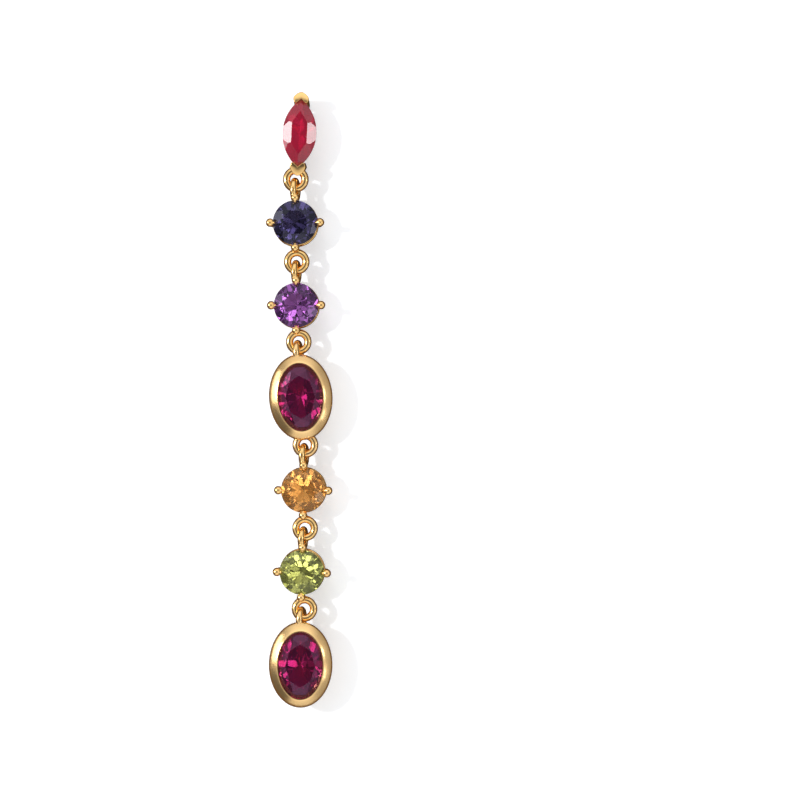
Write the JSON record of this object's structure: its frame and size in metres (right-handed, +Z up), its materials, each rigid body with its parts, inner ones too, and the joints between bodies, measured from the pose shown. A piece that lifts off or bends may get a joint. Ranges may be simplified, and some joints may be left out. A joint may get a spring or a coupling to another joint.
{
  "type": "drop earring",
  "caption": "Pierced-ear drop earring: a gold marquise stud on a plain post, with round claw-set and oval bezel-set stones linked below it in a long column.",
  "frame": {"origin": "centre of the ear post where it leaves the back of the stud, against the front of the ear lobe", "axes": "+Z up, along the hanging column; +Y along the ear post, into the ear, so the stones face -Y; +X to the viewer's right"},
  "size_m": [0.006, 0.0134, 0.0552],
  "materials": {
    "gold": "yellow gold plate, polished, with a fine satin cast",
    "ruby": "pinkish red ruby, polished facets",
    "iolite": "dark violet blue iolite, polished facets",
    "amethyst": "purple amethyst, polished facets",
    "garnet": "purplish red rhodolite garnet, polished facets",
    "citrine": "golden orange citrine, polished facets",
    "peridot": "olive green peridot, polished facets"
  },
  "bodies": {
    "root": {"stud_setting": "gold", "ruby_stone": "ruby", "iolite_setting": "gold", "iolite_stone": "iolite", "amethyst_setting": "gold", "amethyst_stone": "amethyst", "upper_garnet_bezel": "gold", "upper_garnet_stone": "garnet", "citrine_setting": "gold", "citrine_stone": "citrine", "peridot_setting": "gold", "peridot_stone": "peridot", "lower_garnet_bezel": "gold", "lower_garnet_stone": "garnet"}
  },
  "joints": []
}
